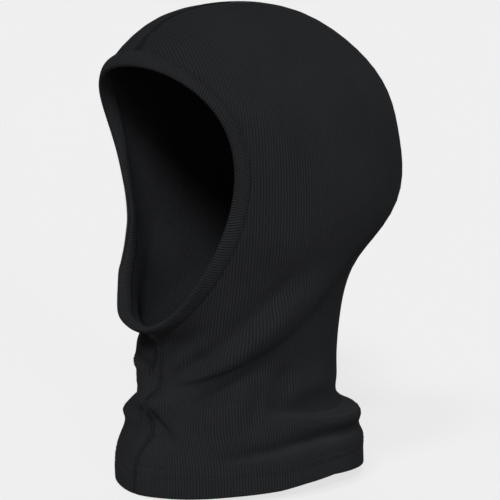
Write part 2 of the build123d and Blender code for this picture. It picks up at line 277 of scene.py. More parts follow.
def fold_push(p, side):
    """Outward push of the folds at points of the smooth form."""
    angle = np.degrees(np.arctan2(np.abs(p[..., 0]), -p[..., 1]))
    z = p[..., 2]
    total = np.zeros(angle.shape)
    for f in FOLDS:
        if side not in f["side"]:
            continue
        height = along_fold(f, "height", angle)
        live = ease((angle - f["start"]) / (f["full"] - f["start"]))
        live = live * (1 - ease((angle - f["fade"]) / (f["end"] - f["fade"])))
        reach = np.where(z > height, f["up"], along_fold(f, "down", angle))
        total += along_fold(f, "push", angle) * live * bell((z - height) / reach)
    for c in CREASES:
        if side not in c["side"]:
            continue
        ax, ay = c["a"][0] * AROUND, c["a"][1]
        bx, by = c["b"][0] * AROUND, c["b"][1]
        dx, dy = bx - ax, by - ay
        k = ((angle * AROUND - ax) * dx + (z - ay) * dy) / (dx * dx + dy * dy)
        k = np.clip(k, 0, 1)
        away = np.hypot(angle * AROUND - ax - k * dx, z - ay - k * dy)
        if "seam" in c:
            live = ease((SEAM_CREASE_TOP - z) / SEAM_CREASE_FADE)
        else:
            live = ease(angle / 4)
        total += c["push"] * bell(away / c["wide"]) * live
    off_seam = ease(np.abs(p[..., 0]) / SETTLE_NEAR_SEAM)
    for c in SETTLE:
        if side in c["side"]:
            total += (c["push"] * bell((angle - c["at"][0]) / c["reach"][0])
                      * bell((z - c["at"][1]) / c["reach"][1]) * off_seam)
    return total


# the hem doesn't hang level: height of its edge round from the front, the same on both
# sides; at RISE_HEIGHT and above everything is moved by RISE_TOP
RISE_ANGLE = (0, 30, 52, 75, 90, 110, 130, 150, 180)
RISE = (0.0, 2.2, 4.4, 6.2, 8.8, 11.0, 9.0, 6.5, 5.5)
RISE_TOP, RISE_HEIGHT = 4.5, 62.0
# the chin's far corner, moved sideways: height, reach, shift
CHIN_CORNER = ((112, 7, -3.2), (131, 8, 1.2))


def hang(q):
    """Moves finished points up with the uneven hem and the longer front of the neck."""
    angle = np.degrees(np.arctan2(np.abs(q[:, 0]), -q[:, 1]))
    edge = np.interp(angle, RISE_ANGLE, RISE)
    share = (1 - np.clip(q[:, 2] / RISE_HEIGHT, 0, 1)) ** 1.5
    out = q.copy()
    out[:, 2] += RISE_TOP * (1 - share) + edge * share
    chin = ease(-q[:, 0] / 9) * ease((-60 - q[:, 1]) / 10)
    for height, reach, shift in CHIN_CORNER:
        out[:, 0] += chin * shift * bell((q[:, 2] - height) / reach)
    return out


def swell(p, side):
    """Slow unevenness of worn knit, different on the two sides."""
    k = 0.0 if side == "L" else 1.7
    x, y, z = p[..., 0], p[..., 1], p[..., 2]
    return (0.45 * np.sin(z / 23 + y / 31 + k) * np.sin(y / 27 - x / 41 + 2 * k)
            + 0.25 * np.sin(z / 11 + y / 17 + 3 * k) * ease((170 - z) / 60))


def drape(p, side):
    """Folds and unevenness together."""
    return fold_push(p, side) + swell(p, side) * ease(p[..., 0] / SMOOTH_NEAR_SEAM)


# ---- distances along the form ----
N_FINE, N_LINES = 900, 241
RING_STEPS = 1440
NECK_RINGS = 11.5       # rings from here on run level round the neck
S_FINE = np.linspace(0, S_LAST, N_FINE)
T_TABLE = np.linspace(0, math.pi, N_LINES)
LINES = base(*np.broadcast_arrays(S_FINE[:, None], T_TABLE[None]))
RUN = np.concatenate([np.zeros((1, N_LINES)),
                      np.cumsum(np.linalg.norm(np.diff(LINES, axis=0), axis=-1), axis=0)])


def s_at_distance(t, d):
    """Ring parameter at cloth distance d from the face edge."""
    table = np.array([np.interp(d, RUN[:, k], S_FINE) for k in range(N_LINES)])
    return np.interp(t, T_TABLE, table)


def s_at_height(t, z):
    """Ring parameter where the lower neck reaches height z."""
    low = S_FINE > NECK_RINGS
    table = np.array([np.interp(-z, -LINES[low, k, 2], S_FINE[low]) for k in range(N_LINES)])
    return np.interp(t, T_TABLE, table)


def t_at_x(s, x, crown):
    """Angle at which the form is |x| away from the centre plane, by halving."""
    low, high = np.zeros(s.shape), np.full(s.shape, 0.6)
    for _ in range(30):
        mid = (low + high) / 2
        inside = base(s, np.pi - mid if crown else mid)[..., 0] < np.abs(x)
        low, high = np.where(inside, mid, low), np.where(inside, high, mid)
    return np.pi - low if crown else low


# ---- rib chart: u counts millimetres across the ribs, v along them ----
NS, NT = 190, 130
CG_STEPS, CG_DONE = 1500, 1e-14
ON_CHART = 0.03         # mm
START = s_at_distance(T_TABLE, BAND_WIDTH - UNDER_BAND)


def panel_st(i, j):
    """Chart grid coordinates -> ring parameter and angle."""
    t = j / (NT - 1) * np.pi
    start = np.interp(t, T_TABLE, START)
    return start + (S_LAST - start) * i / (NS - 1), t


def solve_chart(p, field, fixed):
    """Scalar whose surface gradient follows `field`: least squares over the grid's
    triangles, by conjugate gradients."""
    ids = np.arange(NS * NT).reshape(NS, NT)
    a, b, c, d = ids[:-1, :-1], ids[1:, :-1], ids[1:, 1:], ids[:-1, 1:]
    tri = np.concatenate([np.stack([a, b, c], -1).reshape(-1, 3),
                          np.stack([a, c, d], -1).reshape(-1, 3)])
    q, f = p.reshape(-1, 3), field.reshape(-1, 3)
    x = q[tri]
    e = np.stack([x[:, 2] - x[:, 1], x[:, 0] - x[:, 2], x[:, 1] - x[:, 0]], 1)
    n = np.cross(e[:, 0], e[:, 1])
    double = np.linalg.norm(n, axis=1, keepdims=True) + 1e-9
    grad = np.cross((n / double)[:, None], e) / double[:, None]
    area = double / 2
    g = unit(f[tri].mean(1))
    rhs = np.zeros(NS * NT)
    np.add.at(rhs, tri, area * np.einsum("kij,kj->ki", grad, g))
    k = area[:, None] * np.einsum("kij,klj->kil", grad, grad)
    rows = np.repeat(tri, 3, axis=1).ravel()
    cols = np.tile(tri, (1, 3)).ravel()
    k = k.ravel()
    free = ~fixed.ravel()

    def apply(v):
        return np.bincount(rows, k * v[cols], NS * NT) * free
    diag = np.bincount(rows[rows == cols], k[rows == cols], NS * NT) + 1e-12
    v = np.zeros(NS * NT)
    r = rhs * free
    z = r / diag
    direction, rz = z.copy(), r @ z
    for _ in range(CG_STEPS):
        ad = apply(direction)
        alpha = rz / (direction @ ad)
        v += alpha * direction
        r -= alpha * ad
        z = r / diag
        new = r @ z
        if new < CG_DONE * abs(rhs @ rhs):
            break
        direction = z + new / rz * direction
        rz = new
    return v.reshape(NS, NT)


def rib_chart():
    """Chart of the panel: ribs run down the neck and lean forward over the head."""
    i, j = np.meshgrid(np.arange(NS), np.arange(NT), indexing="ij")
    s, t = panel_st(i.astype(float), j.astype(float))
    p, n = base(s, t), normals(s, t)
    up = np.array([0, 0, 1.0]) - n[..., 2:3] * n
    over = np.stack([-n[..., 2], 0 * n[..., 0], n[..., 0]], -1)
    along = unit(over + 1.6 * n[..., 1:2] ** 2 * up)
    across = np.cross(along, n)
    pin = np.zeros((NS, NT), bool)
    pin[-1, 0] = True
    hem = np.zeros((NS, NT), bool)
    hem[-1, :] = True
    return solve_chart(p, across, pin), solve_chart(p, along, hem)


CHART_U, CHART_V = rib_chart()


def chart_at(i, j):
    """Each chart coordinate with its slopes along i and j."""
    i0 = np.clip(np.floor(i).astype(int), 0, NS - 2)
    j0 = np.clip(np.floor(j).astype(int), 0, NT - 2)
    a, b = i - i0, j - j0
    out = []
    for g in (CHART_U, CHART_V):
        p, q, r, w = g[i0, j0], g[i0 + 1, j0], g[i0, j0 + 1], g[i0 + 1, j0 + 1]
        out.append((p * (1 - a) * (1 - b) + q * a * (1 - b) + r * (1 - a) * b + w * a * b,
                    (q - p) * (1 - b) + (w - r) * b, (r - p) * (1 - a) + (w - q) * a))
    return out


CHART_TREE = kdtree.KDTree(NS * NT)
for node_number, node_uv in enumerate(zip(CHART_U.ravel(), CHART_V.ravel())):
    CHART_TREE.insert((*node_uv, 0.0), node_number)
CHART_TREE.balance()


def chart_invert(u, v, i, j):
    """Grid coordinates of chart points, and whether each lies on the panel."""
    for _ in range(12):
        (fu, ui, uj), (fv, vi, vj) = chart_at(i, j)
        ru, rv = u - fu, v - fv
        det = ui * vj - uj * vi
        det = np.where(np.abs(det) < 1e-9, 1e-9, det)
        i = np.clip(i + np.clip((ru * vj - rv * uj) / det, -6, 6), 0, NS - 1)
        j = np.clip(j + np.clip((rv * ui - ru * vi) / det, -6, 6), 0, NT - 1)
    (fu, _, _), (fv, _, _) = chart_at(i, j)
    return i, j, np.hypot(u - fu, v - fv) < ON_CHART


def nearest(u, v):
    """Grid coordinates of the chart's nearest grid point, to start from."""
    k = np.array([CHART_TREE.find((a, b, 0.0))[1] for a, b in zip(u.ravel(), v.ravel())])
    return (k // NT).astype(float).reshape(u.shape), (k % NT).astype(float).reshape(u.shape)


def rib_wave(u, pitch):
    """Rounded ribs with narrow grooves between, -1 to 1."""
    c = 0.5 + 0.5 * np.cos(2 * np.pi * u / pitch)
    return 2 * c ** 0.6 - 1


# ---- meshes ----
def make_mesh(name, points, faces, uv=None):
    mesh = bpy.data.meshes.new(name)
    placed = hang(points) * MM + np.array([0, ORIGIN_SHIFT * MM, 0])
    mesh.from_pydata(placed.tolist(), [], faces)
    if uv is not None:
        layer = mesh.uv_layers.new(name="chart")
        loops = np.zeros(len(mesh.loops), dtype=np.int64)
        mesh.loops.foreach_get("vertex_index", loops)
        layer.data.foreach_set("uv", (uv[loops] * MM).astype(np.float32).ravel())
    mesh.polygons.foreach_set("use_smooth", [True] * len(mesh.polygons))
    mesh.validate()
    obj = bpy.data.objects.new(name, mesh)
    bpy.context.collection.objects.link(obj)
    return obj


def solidify(obj, thickness):
    """Gives a single-layer mesh the cloth's thickness, half to each side."""
    m = obj.modifiers.new("cloth", "SOLIDIFY")
    m.thickness = thickness * MM
    m.offset = 0.0
    m.use_even_offset = False
    m.use_rim = True
    deps = bpy.context.evaluated_depsgraph_get()
    mesh = bpy.data.meshes.new_from_object(obj.evaluated_get(deps))
    old = obj.data
    obj.modifiers.clear()
    obj.data = mesh
    bpy.data.meshes.remove(old)


def along_steps(length):
    """Levels along the ribs: close at the hem, wider above."""
    levels = [0.0]
    for limit, size in ROW_STEPS:
        while levels[-1] < min(limit, length + size):
            levels.append(levels[-1] + size)
    return np.array(levels)


def slide_to_edge(u, v, i, j, inside):
    """Slides the ends of every run of inside nodes to the panel's edge, by halving."""
    pad = np.zeros((len(u), 1), bool)
    exists = inside.copy()
    for grown, back in ((~inside & np.concatenate([pad, inside[:, :-1]], 1), -1),
                        (~inside & np.concatenate([inside[:, 1:], pad], 1), 1)):
        a, b = np.nonzero(grown & ~exists)
        gi, gj = i[a, b + back], j[a, b + back]
        lo, hi = v[a, b + back], v[a, b]
        for _ in range(9):
            mid = (lo + hi) / 2
            ti, tj, ok = chart_invert(u[a, b], mid, gi, gj)
            gi, gj = np.where(ok, ti, gi), np.where(ok, tj, gj)
            lo, hi = np.where(ok, mid, lo), np.where(ok, hi, mid)
        # a very short last cell is left out, and the node before it moves instead
        short = np.abs(lo - v[a, b + back]) < 0.3 * np.abs(v[a, b] - v[a, b + back])
        i[a[short], b[short] + back], j[a[short], b[short] + back] = gi[short], gj[short]
        a, b = a[~short], b[~short]
        i[a, b], j[a, b], v[a, b] = gi[~short], gj[~short], lo[~short]
        exists[a, b] = True
    return v, i, j, exists


def run_at(s, k):
    """Cloth distance from the face edge at ring parameter s on line k."""
    x = np.clip(s / S_LAST * (len(S_FINE) - 1), 0, len(S_FINE) - 1.001)
    a = x.astype(int)
    return RUN[a, k] * (1 - (x - a)) + RUN[a + 1, k] * (x - a)


def lift_and_relief(p, u, s, t, push):
    """How far the cloth stands off the smooth form, and the height of its ribs: both
    smaller where the band, the seams and the stitch rows press it in."""
    line = np.clip(t / math.pi * (N_LINES - 1), 0, N_LINES - 1.001)
    k0 = line.astype(int)
    run = (1 - line + k0) * run_at(s, k0) + (line - k0) * run_at(s, k0 + 1)
    near_band = 1 - ease((run - BAND_WIDTH - 0.2) / PRESS_FADE)
    near_seam = 1 - ease((p[..., 0] - 1.2) / PRESS_FADE)
    relief = RIB_RELIEF * rib_wave(u, RIB_PITCH)
    relief = relief * (1 - 0.75 * near_seam) * (1 - 0.85 * near_band)
    lift = push - BAND_STEP * near_band - SEAM_STEP * near_seam * (1 - near_band)
    for row in HEM_ROWS:
        lift -= ROW_DENT * bell((p[..., 2] - row) / ROW_DENT_REACH)
    return lift, relief


def turned_hem(q, n, inner_face):
    """The hem turned up inside: an arc, then back up behind the first rows."""
    down = np.array([0, 0, -1.0])
    rim_n = unit(n[:, 0] * np.array([1, 1, 0]))
    turn = []
    for angle in HEM_ARC_ANGLES:
        a = math.radians(angle)
        turn.append(q[:, 0] - HEM_FOLD * (1 - math.cos(a)) * rim_n + HEM_FOLD * math.sin(a) * down)
    for m in HEM_INNER_ROWS:
        turn.append(inner_face[:, m] - 2 * HEM_FOLD * n[:, m])
    return np.array(turn)[::-1].transpose(1, 0, 2)


def grid_mesh(name, grid, uv, alive, mirrored):
    """Mesh of a grid's live nodes; a cell that has lost one corner is a triangle."""
    ids = np.full(alive.shape, -1)
    ids[alive] = np.arange(alive.sum())
    corners = np.stack([ids[:-1, :-1], ids[1:, :-1], ids[1:, 1:], ids[:-1, 1:]], -1).reshape(-1, 4)
    there = (corners >= 0).sum(1)
    faces = corners[there == 4].tolist()
    faces += [[c for c in cell if c >= 0] for cell in corners[there == 3].tolist()]
    points = grid[alive]
    if mirrored:
        points[:, 0] *= -1
        faces = [face[::-1] for face in faces]
    used = np.unique(np.concatenate([np.ravel(f) for f in faces]))
    remap = np.full(len(points), -1)
    remap[used] = np.arange(len(used))
    return make_mesh(name, points[used], [[remap[c] for c in face] for face in faces],
                     uv[alive][used])


def side_panel(side):
    """One half of the hood: a grid along the ribs, cut to the panel's outline."""
    step, margin = RIB_PITCH / COLUMNS_PER_RIB, 0.02
    ks = np.arange(math.ceil((CHART_U.min() + margin) / step),
                   math.floor((CHART_U.max() - margin) / step) + 1)
    levels = along_steps(CHART_V.max())
    u, v = np.meshgrid(ks * step, levels, indexing="ij")
    i, j = nearest(u, v)
    i, j, inside = chart_invert(u, np.maximum(v, 1e-4), i, j)
    v, i, j, exists = slide_to_edge(u, v, i, j, inside)
    s, t = panel_st(i, j)
    p, n = base(s, t), normals(s, t)
    push = drape(p, side)
    lift, relief = lift_and_relief(p, u, s, t, push)
    q = p + n * (lift + relief)[..., None]
    turn = turned_hem(q, n, p + n * (push - relief * 0.6)[..., None])
    rows = turn.shape[1]
    grid = np.concatenate([turn, q], 1)
    # at the hem the two panels' edges close on each other under the seam
    close = ease(HEM_CLOSE_REACH - grid[..., 0]) * ease((HEM_CLOSE_HEIGHT - grid[..., 2]) / 6)
    grid[..., 0] *= 1 - 0.85 * close
    alive = np.concatenate([np.repeat(inside[:, :1], rows, 1), exists], 1)
    turned_v = np.concatenate([-levels[list(HEM_INNER_ROWS)][::-1] - HEM_ARC,
                               np.linspace(-HEM_ARC, -0.5, len(HEM_ARC_ANGLES))])
    uv = np.stack([np.concatenate([np.repeat(u[:, :1], rows, 1), u], 1),
                   np.concatenate([np.repeat(turned_v[None], len(ks), 0), v], 1)], -1)
    name = {"L": "panel_left", "R": "panel_right"}[side]
    obj = grid_mesh(name, grid, uv, alive, side == "R")
    solidify(obj, CLOTH)
    return obj


def tubes(paths, ups, radius):
    """Closed tubes along many short paths at once: paths (count, points, 3)."""
    count, rows, _ = paths.shape
    tangent = unit(np.gradient(paths, axis=1))
    across = unit(np.cross(tangent, ups))[:, :, None]
    lift = np.cross(across[:, :, 0], tangent)[:, :, None]
    angle = (np.arange(TUBE_SIDES) / TUBE_SIDES * 2 * np.pi)[:, None]
    ring = paths[:, :, None] + radius * (np.cos(angle) * across + np.sin(angle) * lift)
    points = ring.reshape(-1, 3)
    ids = np.arange(count * rows * TUBE_SIDES).reshape(count, rows, TUBE_SIDES)
    nxt = np.roll(ids, -1, axis=2)
    body = np.stack([ids[:, :-1], nxt[:, :-1], nxt[:, 1:], ids[:, 1:]], -1).reshape(-1, 4)
    faces = body.tolist() + ids[:, 0, ::-1].tolist() + ids[:, -1].tolist()
    return points, faces


def at_distance(d):
    return lambda half: s_at_distance(half, d)


def at_height(z):
    return lambda half: s_at_height(half, z)


def one(fn, half):
    return float(fn(np.array([half]))[0])


def side_of(t):
    """Angle all the way round -> angle on one half, and which half (1 left, -1 right)."""
    return np.where(t <= np.pi, t, 2 * np.pi - t), np.where(t <= np.pi, 1.0, -1.0)


def ring_length(s_of):
    """Angles all the way round, and the length run up to each."""
    t = np.linspace(0, 2 * np.pi, RING_STEPS + 1)
    half, side = side_of(t)
    p = base(s_of(half), half)
    p[:, 0] *= side
    return t, np.concatenate([[0], np.cumsum(np.linalg.norm(np.diff(p, axis=0), axis=1))])


def on_ring(s, t_half, side, lift):
    """Points of the folded form on a ring of stations, lifted off the cloth."""
    p, n = base(s, t_half), normals(s, t_half)
    push = np.where(side > 0, drape(p, "L"), drape(p, "R"))
    q = p + n * (push + lift)[..., None]
    flip = np.stack([side, np.ones_like(side), np.ones_like(side)], -1)
    return q * flip, n * flip


def face_band():
    """Ribbed strip folded over the face edge: outer face, rounded rim, inner face."""
    t, run = ring_length(at_distance(BAND_WIDTH / 2))
    count = round(run[-1] / BAND_PITCH) * BAND_COLUMNS_PER_RIB
    half, side = side_of(np.interp(np.linspace(0, run[-1], count + 1), run, t)[:-1])
    columns = np.arange(count) / BAND_COLUMNS_PER_RIB
    wave = rib_wave(columns, 1.0)
    rng = np.random.default_rng(7)
    slack = np.interp(np.arange(count), np.linspace(0, count, 60), rng.normal(0, 0.16, 60))
    rows, rows_uv = [], []

    def layer(d, lift, relief):
        s = s_at_distance(half, d)
        return on_ring(s, half, side, lift + relief * wave + slack * (d / BAND_WIDTH))

    for d in BAND_OUTER:
        puff = BAND_PUFF * math.sin(math.pi * min(1, (d - BAND_FOLD) / 9.5)) ** 0.8
        dip = 0.55 * bell((d - (BAND_WIDTH - STITCH_IN)) / 0.75)
        edge = BAND_EDGE * bell((d - 11.2) / 0.8)
        rows.append(layer(d, BAND_FOLD + puff - dip - edge, BAND_RELIEF * (1 - 0.5 * dip))[0])
        rows_uv.append(d)
    top, n = layer(BAND_FOLD + 0.25, 0.0, 0.0)
    behind, _ = layer(BAND_FOLD + 1.6, 0.0, 0.0)
    out = unit(top - behind)
    for angle in BAND_RIM:
        a = math.radians(angle)
        r = BAND_FOLD + 0.25 + 0.7 * BAND_RELIEF * wave[:, None]
        rows.append(top + r * (math.cos(a) * n + math.sin(a) * out))
        rows_uv.append(BAND_FOLD - angle / 180 * math.pi * BAND_FOLD)
    for d in BAND_INNER:
        rows.append(layer(d, -BAND_FOLD - 0.2, -0.8 * BAND_RELIEF)[0])
        rows_uv.append(-d - 2.0)
    grid = np.array(rows)
    ids = np.arange(len(grid) * count).reshape(len(grid), count)
    nxt = np.roll(ids, -1, axis=1)
    faces = np.stack([ids[:-1], ids[1:], nxt[1:], nxt[:-1]], -1).reshape(-1, 4)
    uv = np.stack(np.meshgrid(rows_uv, columns * BAND_PITCH, indexing="ij"), -1)[..., ::-1]
    obj = make_mesh("face_band", grid.reshape(-1, 3), faces.tolist(), uv.reshape(-1, 2))
    solidify(obj, BAND_CLOTH)
    return obj


def ladder(name, crown, s0, s1, lift):
    """Flatlock seam: slanting cross bars of thread and three chains along them."""
    s = np.linspace(s0, s1, LADDER_STEPS)
    t = np.full(LADDER_STEPS, np.pi if crown else 0.0)
    line = base(s, t)
    run = np.concatenate([[0], np.cumsum(np.linalg.norm(np.diff(line, axis=0), axis=1))])
    bars = int(run[-1] / LADDER_PITCH)
    rng = np.random.default_rng(11 if crown else 12)
    at = (np.arange(bars) + 0.5) * LADDER_PITCH
    xs = np.linspace(-LADDER_WIDTH / 2, LADDER_WIDTH / 2, 9)

    def points(distance, x, height):
        sk = np.interp(distance, run, s)
        tk = t_at_x(sk, x, crown)
        side = np.where(x < 0, -1.0, 1.0)
        return on_ring(sk, tk, side, height)

    slant = rng.normal(0, 0.10, bars)[:, None] + 0.5
    x = np.broadcast_to(xs, (bars, 9)) + rng.normal(0, 0.06, (bars, 1))
    distance = at[:, None] + slant * x / LADDER_WIDTH
    arch = 0.16 * np.cos(x / LADDER_WIDTH * np.pi) - 0.55 * (np.abs(x) > LADDER_WIDTH / 2 - 0.2)
    q, n = points(np.clip(distance, 0, run[-1]), x, np.sign(lift) * (abs(lift) + arch))
    groups = [tubes(q, n, LADDER_THREAD)]
    for edge in (-1, 0, 1):
        links = int(run[-1] / CHAIN_PITCH)
        start = (np.arange(links) + 0.5)[:, None] * CHAIN_PITCH
        along = start + np.linspace(-0.92, 0.92, 5)[None]
        x = np.full(along.shape, edge * (LADDER_WIDTH / 2 - 0.25))
        dip = np.array([-0.35, 0.12, 0.22, 0.12, -0.35])
        q, n = points(np.clip(along, 0, run[-1]), x, np.sign(lift) * (abs(lift) + 0.1 + dip))
        groups.append(tubes(q, n, LADDER_THREAD * 0.95))
    return join_groups(name, groups)


def join_groups(name, groups):
    """One mesh from several (points, faces)."""
    points, faces, base_id = [], [], 0
    for p, f in groups:
        faces += [[v + base_id for v in face] for face in f]
        points.append(p)
        base_id += len(p)
    return make_mesh(name, np.concatenate(points), faces)


def seam_climb(t, amount):
    """Extra height where a row of thread passes over the seams."""
    half, _ = side_of(t)
    away = np.minimum(half, np.pi - half) * 70
    return amount * (1 - ease((away - 2.0) / 1.8))


def stitch_row(s_of, pitch, lift, radius, sink, seed, over=0.0):
    """A row of separate straight stitches, each dipping into the cloth at its ends."""
    t, run = ring_length(s_of)
    count = int(run[-1] / pitch)
    pitch = run[-1] / count
    rng = np.random.default_rng(seed)
    along = (np.arange(count)[:, None] + np.linspace(0.08, 0.92, 6)[None]) * pitch
    tt = np.interp(along + rng.normal(0, 0.04, (count, 1)), run, t)
    dip = sink * np.array([-1.0, 0.2, 0.45, 0.45, 0.2, -1.0])
    wobble = rng.normal(0, 0.04, (count, 1))
    half, side = side_of(tt)
    q, n = on_ring(s_of(half), half, side,
                   lift + np.sign(lift) * (dip + wobble + seam_climb(tt, over)))
    return tubes(q, n, radius)


def zigzag(s_a, s_b, pitch, lift, seed):
    """Threads crossing to and fro between two rings, as a looper lays them."""
    t, run = ring_length(s_a)
    count = int(run[-1] / pitch)
    pitch = run[-1] / count
    rng = np.random.default_rng(seed)
    share = np.linspace(0, 1, 8)
    groups = []
    for lean in (0.55, -0.55):
        along = (np.arange(count)[:, None] + 0.5 + lean * (share[None] - 0.5)) * pitch
        tt = np.interp(np.clip(along + rng.normal(0, 0.05, (count, 1)), 0, run[-1]), run, t)
        half, side = side_of(tt)
        s = s_a(half) * (1 - share) + s_b(half) * share
        arch = 0.14 * np.sin(np.pi * share) - 0.25 * (np.abs(share - 0.5) > 0.45)
        arch = arch - 0.1 * (lean > 0)          # the threads one way lie under the others
        q, n = on_ring(s, half, side, lift + np.sign(lift) * arch)
        groups.append(tubes(q, n, FINE_THREAD))
    return groups


def care_label():
    """Blank folded loop of ribbon hanging inside the nape, a little curled."""
    top = base(np.array([one(at_height(LABEL_HEIGHT), np.pi)]), np.array([np.pi]))[0]
    y0, z0 = top[1] - LABEL_OFF_WALL, top[2]
    x = np.linspace(-LABEL_WIDTH / 2, LABEL_WIDTH / 2, 19)
    path = [(0.0, -k) for k in np.linspace(0, LABEL_DROP, 16)]
    path += [(-LABEL_BEND * (1 - math.cos(a)), -LABEL_DROP - LABEL_BEND * math.sin(a))
             for a in (0.5, 1.0, 1.57, 2.1, 2.64)]
    path += [(-2 * LABEL_BEND, -k) for k in np.linspace(LABEL_DROP, 0.6, 16)]
    rows = []
    for depth, z in path:
        k = -z / LABEL_DROP
        curl = -1.3 * k ** 2 + 0.5 * np.sin(x / 7 + 1.5 * k) * k
        rows.append(np.stack([x + 0.3 * k * np.sin(z / 9), y0 + depth + curl + 0 * x,
                              z0 + z + 0 * x], -1))
    grid = np.array(rows)
    ids = np.arange(grid.shape[0] * grid.shape[1]).reshape(grid.shape[:2])
    faces = np.stack([ids[:-1, :-1], ids[1:, :-1], ids[1:, 1:], ids[:-1, 1:]], -1).reshape(-1, 4)
    uv = np.stack(np.meshgrid(np.arange(len(path)) * 2.0, x, indexing="ij")[::-1], -1)
    obj = make_mesh("label_blank", grid.reshape(-1, 3), faces.tolist(), uv.reshape(-1, 2))
    solidify(obj, LABEL_CLOTH)
    row_x = np.arange(-10.5, 10.6, 1.9)
    paths = np.stack([row_x[:, None] + np.linspace(-0.8, 0.8, 5),
                      np.full((len(row_x), 5), y0 - 1.55) + 0.25 * np.array([1, 0, 0, 0, 1]),
                      np.full((len(row_x), 5), z0 - 3.0)], -1)
    ups = np.broadcast_to(np.array([0, -1.0, 0]), paths.shape)
    return obj, join_groups("label_tack", [tubes(paths, ups, 0.2)])


# ---- the pieces ----
panel_left = side_panel("L")
panel_right = side_panel("R")
band = face_band()


def centre_seams(name, crown):
    """The outer and the inner threads of one centre seam."""
    t = np.pi if crown else 0.0
    outer = ladder(name, crown, one(at_distance(EDGE), t), one(at_height(0.2), t), LADDER_OUT)
    inner = ladder(name + "_inside", crown, one(at_distance(EDGE + 6), t),
                   one(at_height(HEM_TURN + 1.5), t), LADDER_IN)
    return outer, inner


crown_out, crown_in = centre_seams("crown_flatlock", True)
throat_out, throat_in = centre_seams("throat_flatlock", False)

topstitch = join_groups("band_topstitch", [
    stitch_row(at_distance(BAND_WIDTH - STITCH_IN), BAND_STITCH, 1.62, 0.26, 0.5, seed=3)])
overlock = join_groups("band_overlock", zigzag(
    at_distance(BAND_WIDTH + 0.8), at_distance(BAND_WIDTH + 4.8), 2.1, -1.0, seed=4) + [
    stitch_row(at_distance(BAND_WIDTH + d), BAND_STITCH, -1.15, 0.2, 0.2, seed=5)
    for d in (1.0, 4.6)])
hem_upper, hem_lower = [join_groups(name, [
    stitch_row(at_height(z), HEM_STITCH, 0.62, 0.27, 0.4, seed=seed, over=0.75)])
    for name, z, seed in (("hem_row_upper", HEM_ROWS[0], 6), ("hem_row_lower", HEM_ROWS[1], 8))]
hem_inside = join_groups("hem_looper", zigzag(
    at_height(HEM_ROWS[0] + 0.6), at_height(HEM_ROWS[1] - 0.6), HEM_STITCH, -2.95, seed=9) + [
    stitch_row(at_height(z), HEM_STITCH, -3.0, 0.2, 0.2, seed=10) for z in HEM_ROWS])

join_rows = []
for x in (-0.8, 0.8):                   # where the band's two ends meet
    at = np.arange(1.6, 9.0, 1.7)
    d = at[:, None] + np.linspace(0, 1.3, 5)[None]
    s_join = np.interp(d, RUN[:, 0], S_FINE)
    t_join = t_at_x(s_join, np.full(d.shape, abs(x)), False)
    height = BAND_FOLD + 1.25 + 0.35 * np.sin(np.pi * (d - 0.8) / 9.5)
    q_join, n_join = on_ring(s_join, t_join, np.full(d.shape, np.sign(x)),
                             height + np.array([-0.5, 0.1, 0.2, 0.1, -0.5]))
    join_rows.append(tubes(q_join, n_join, FINE_THREAD))
band_join = join_groups("band_join", join_rows)
label, label_tack = care_label()

# ---- materials ----
LOOP_HEIGHT = 0.00010           # metres, for the bump of the loops and the fuzz
TWIST_HEIGHT = 0.00006
WEAVE_PITCH, WEAVE_HEIGHT = 0.00042, 0.00008


def fill_ramp(ramp, stops):
    """Colour ramp through stops of (position, colour)."""
    while len(ramp.elements) < len(stops):
        ramp.elements.new(0.5)
    for element, (at, colour) in zip(ramp.elements, stops):
        element.position = at
        element.color = (*colour, 1.0)


class Nodes:
    """Small helper to wire a node material."""

    def __init__(self, name):
        self.mat = bpy.data.materials.new(name)
        self.mat.use_nodes = True
        self.tree = self.mat.node_tree
        self.shader = self.tree.nodes["Principled BSDF"]

    def new(self, kind, **settings):
        node = self.tree.nodes.new(kind)
        for key, value in settings.items():
            setattr(node, key, value)
        return node

    def link(self, a, b):
        self.tree.links.new(a, b)

    def math(self, op, a, b=None, c=None):
        node = self.new("ShaderNodeMath", operation=op)
        for k, value in enumerate((a, b, c)):
            if isinstance(value, (int, float)):
                node.inputs[k].default_value = value
            elif value is not None:
                self.link(value, node.inputs[k])
        return node.outputs[0]

    def chart(self):
        """Flat coordinates of the cloth in metres: across the ribs, along them."""
        parts = self.new("ShaderNodeSeparateXYZ")
        self.link(self.new("ShaderNodeUVMap", uv_map="chart").outputs[0], parts.inputs[0])
        return parts.outputs[0], parts.outputs[1]

    def noise(self, vector, scale, detail=3.0, rough=0.55):
        node = self.new("ShaderNodeTexNoise")
        node.inputs["Scale"].default_value = scale
        node.inputs["Detail"].default_value = detail
        node.inputs["Roughness"].default_value = rough
        self.link(vector, node.inputs["Vector"])
        return node.outputs["Fac"]

    def ramp(self, factor, stops):
        node = self.new("ShaderNodeValToRGB")
        fill_ramp(node.color_ramp, stops)
        self.link(factor, node.inputs[0])
        return node.outputs[0]

    def bump(self, height, distance, strength):
        node = self.new("ShaderNodeBump")
        node.inputs["Distance"].default_value = distance
        node.inputs["Strength"].default_value = strength
        self.link(height, node.inputs["Height"])
        return node.outputs[0]


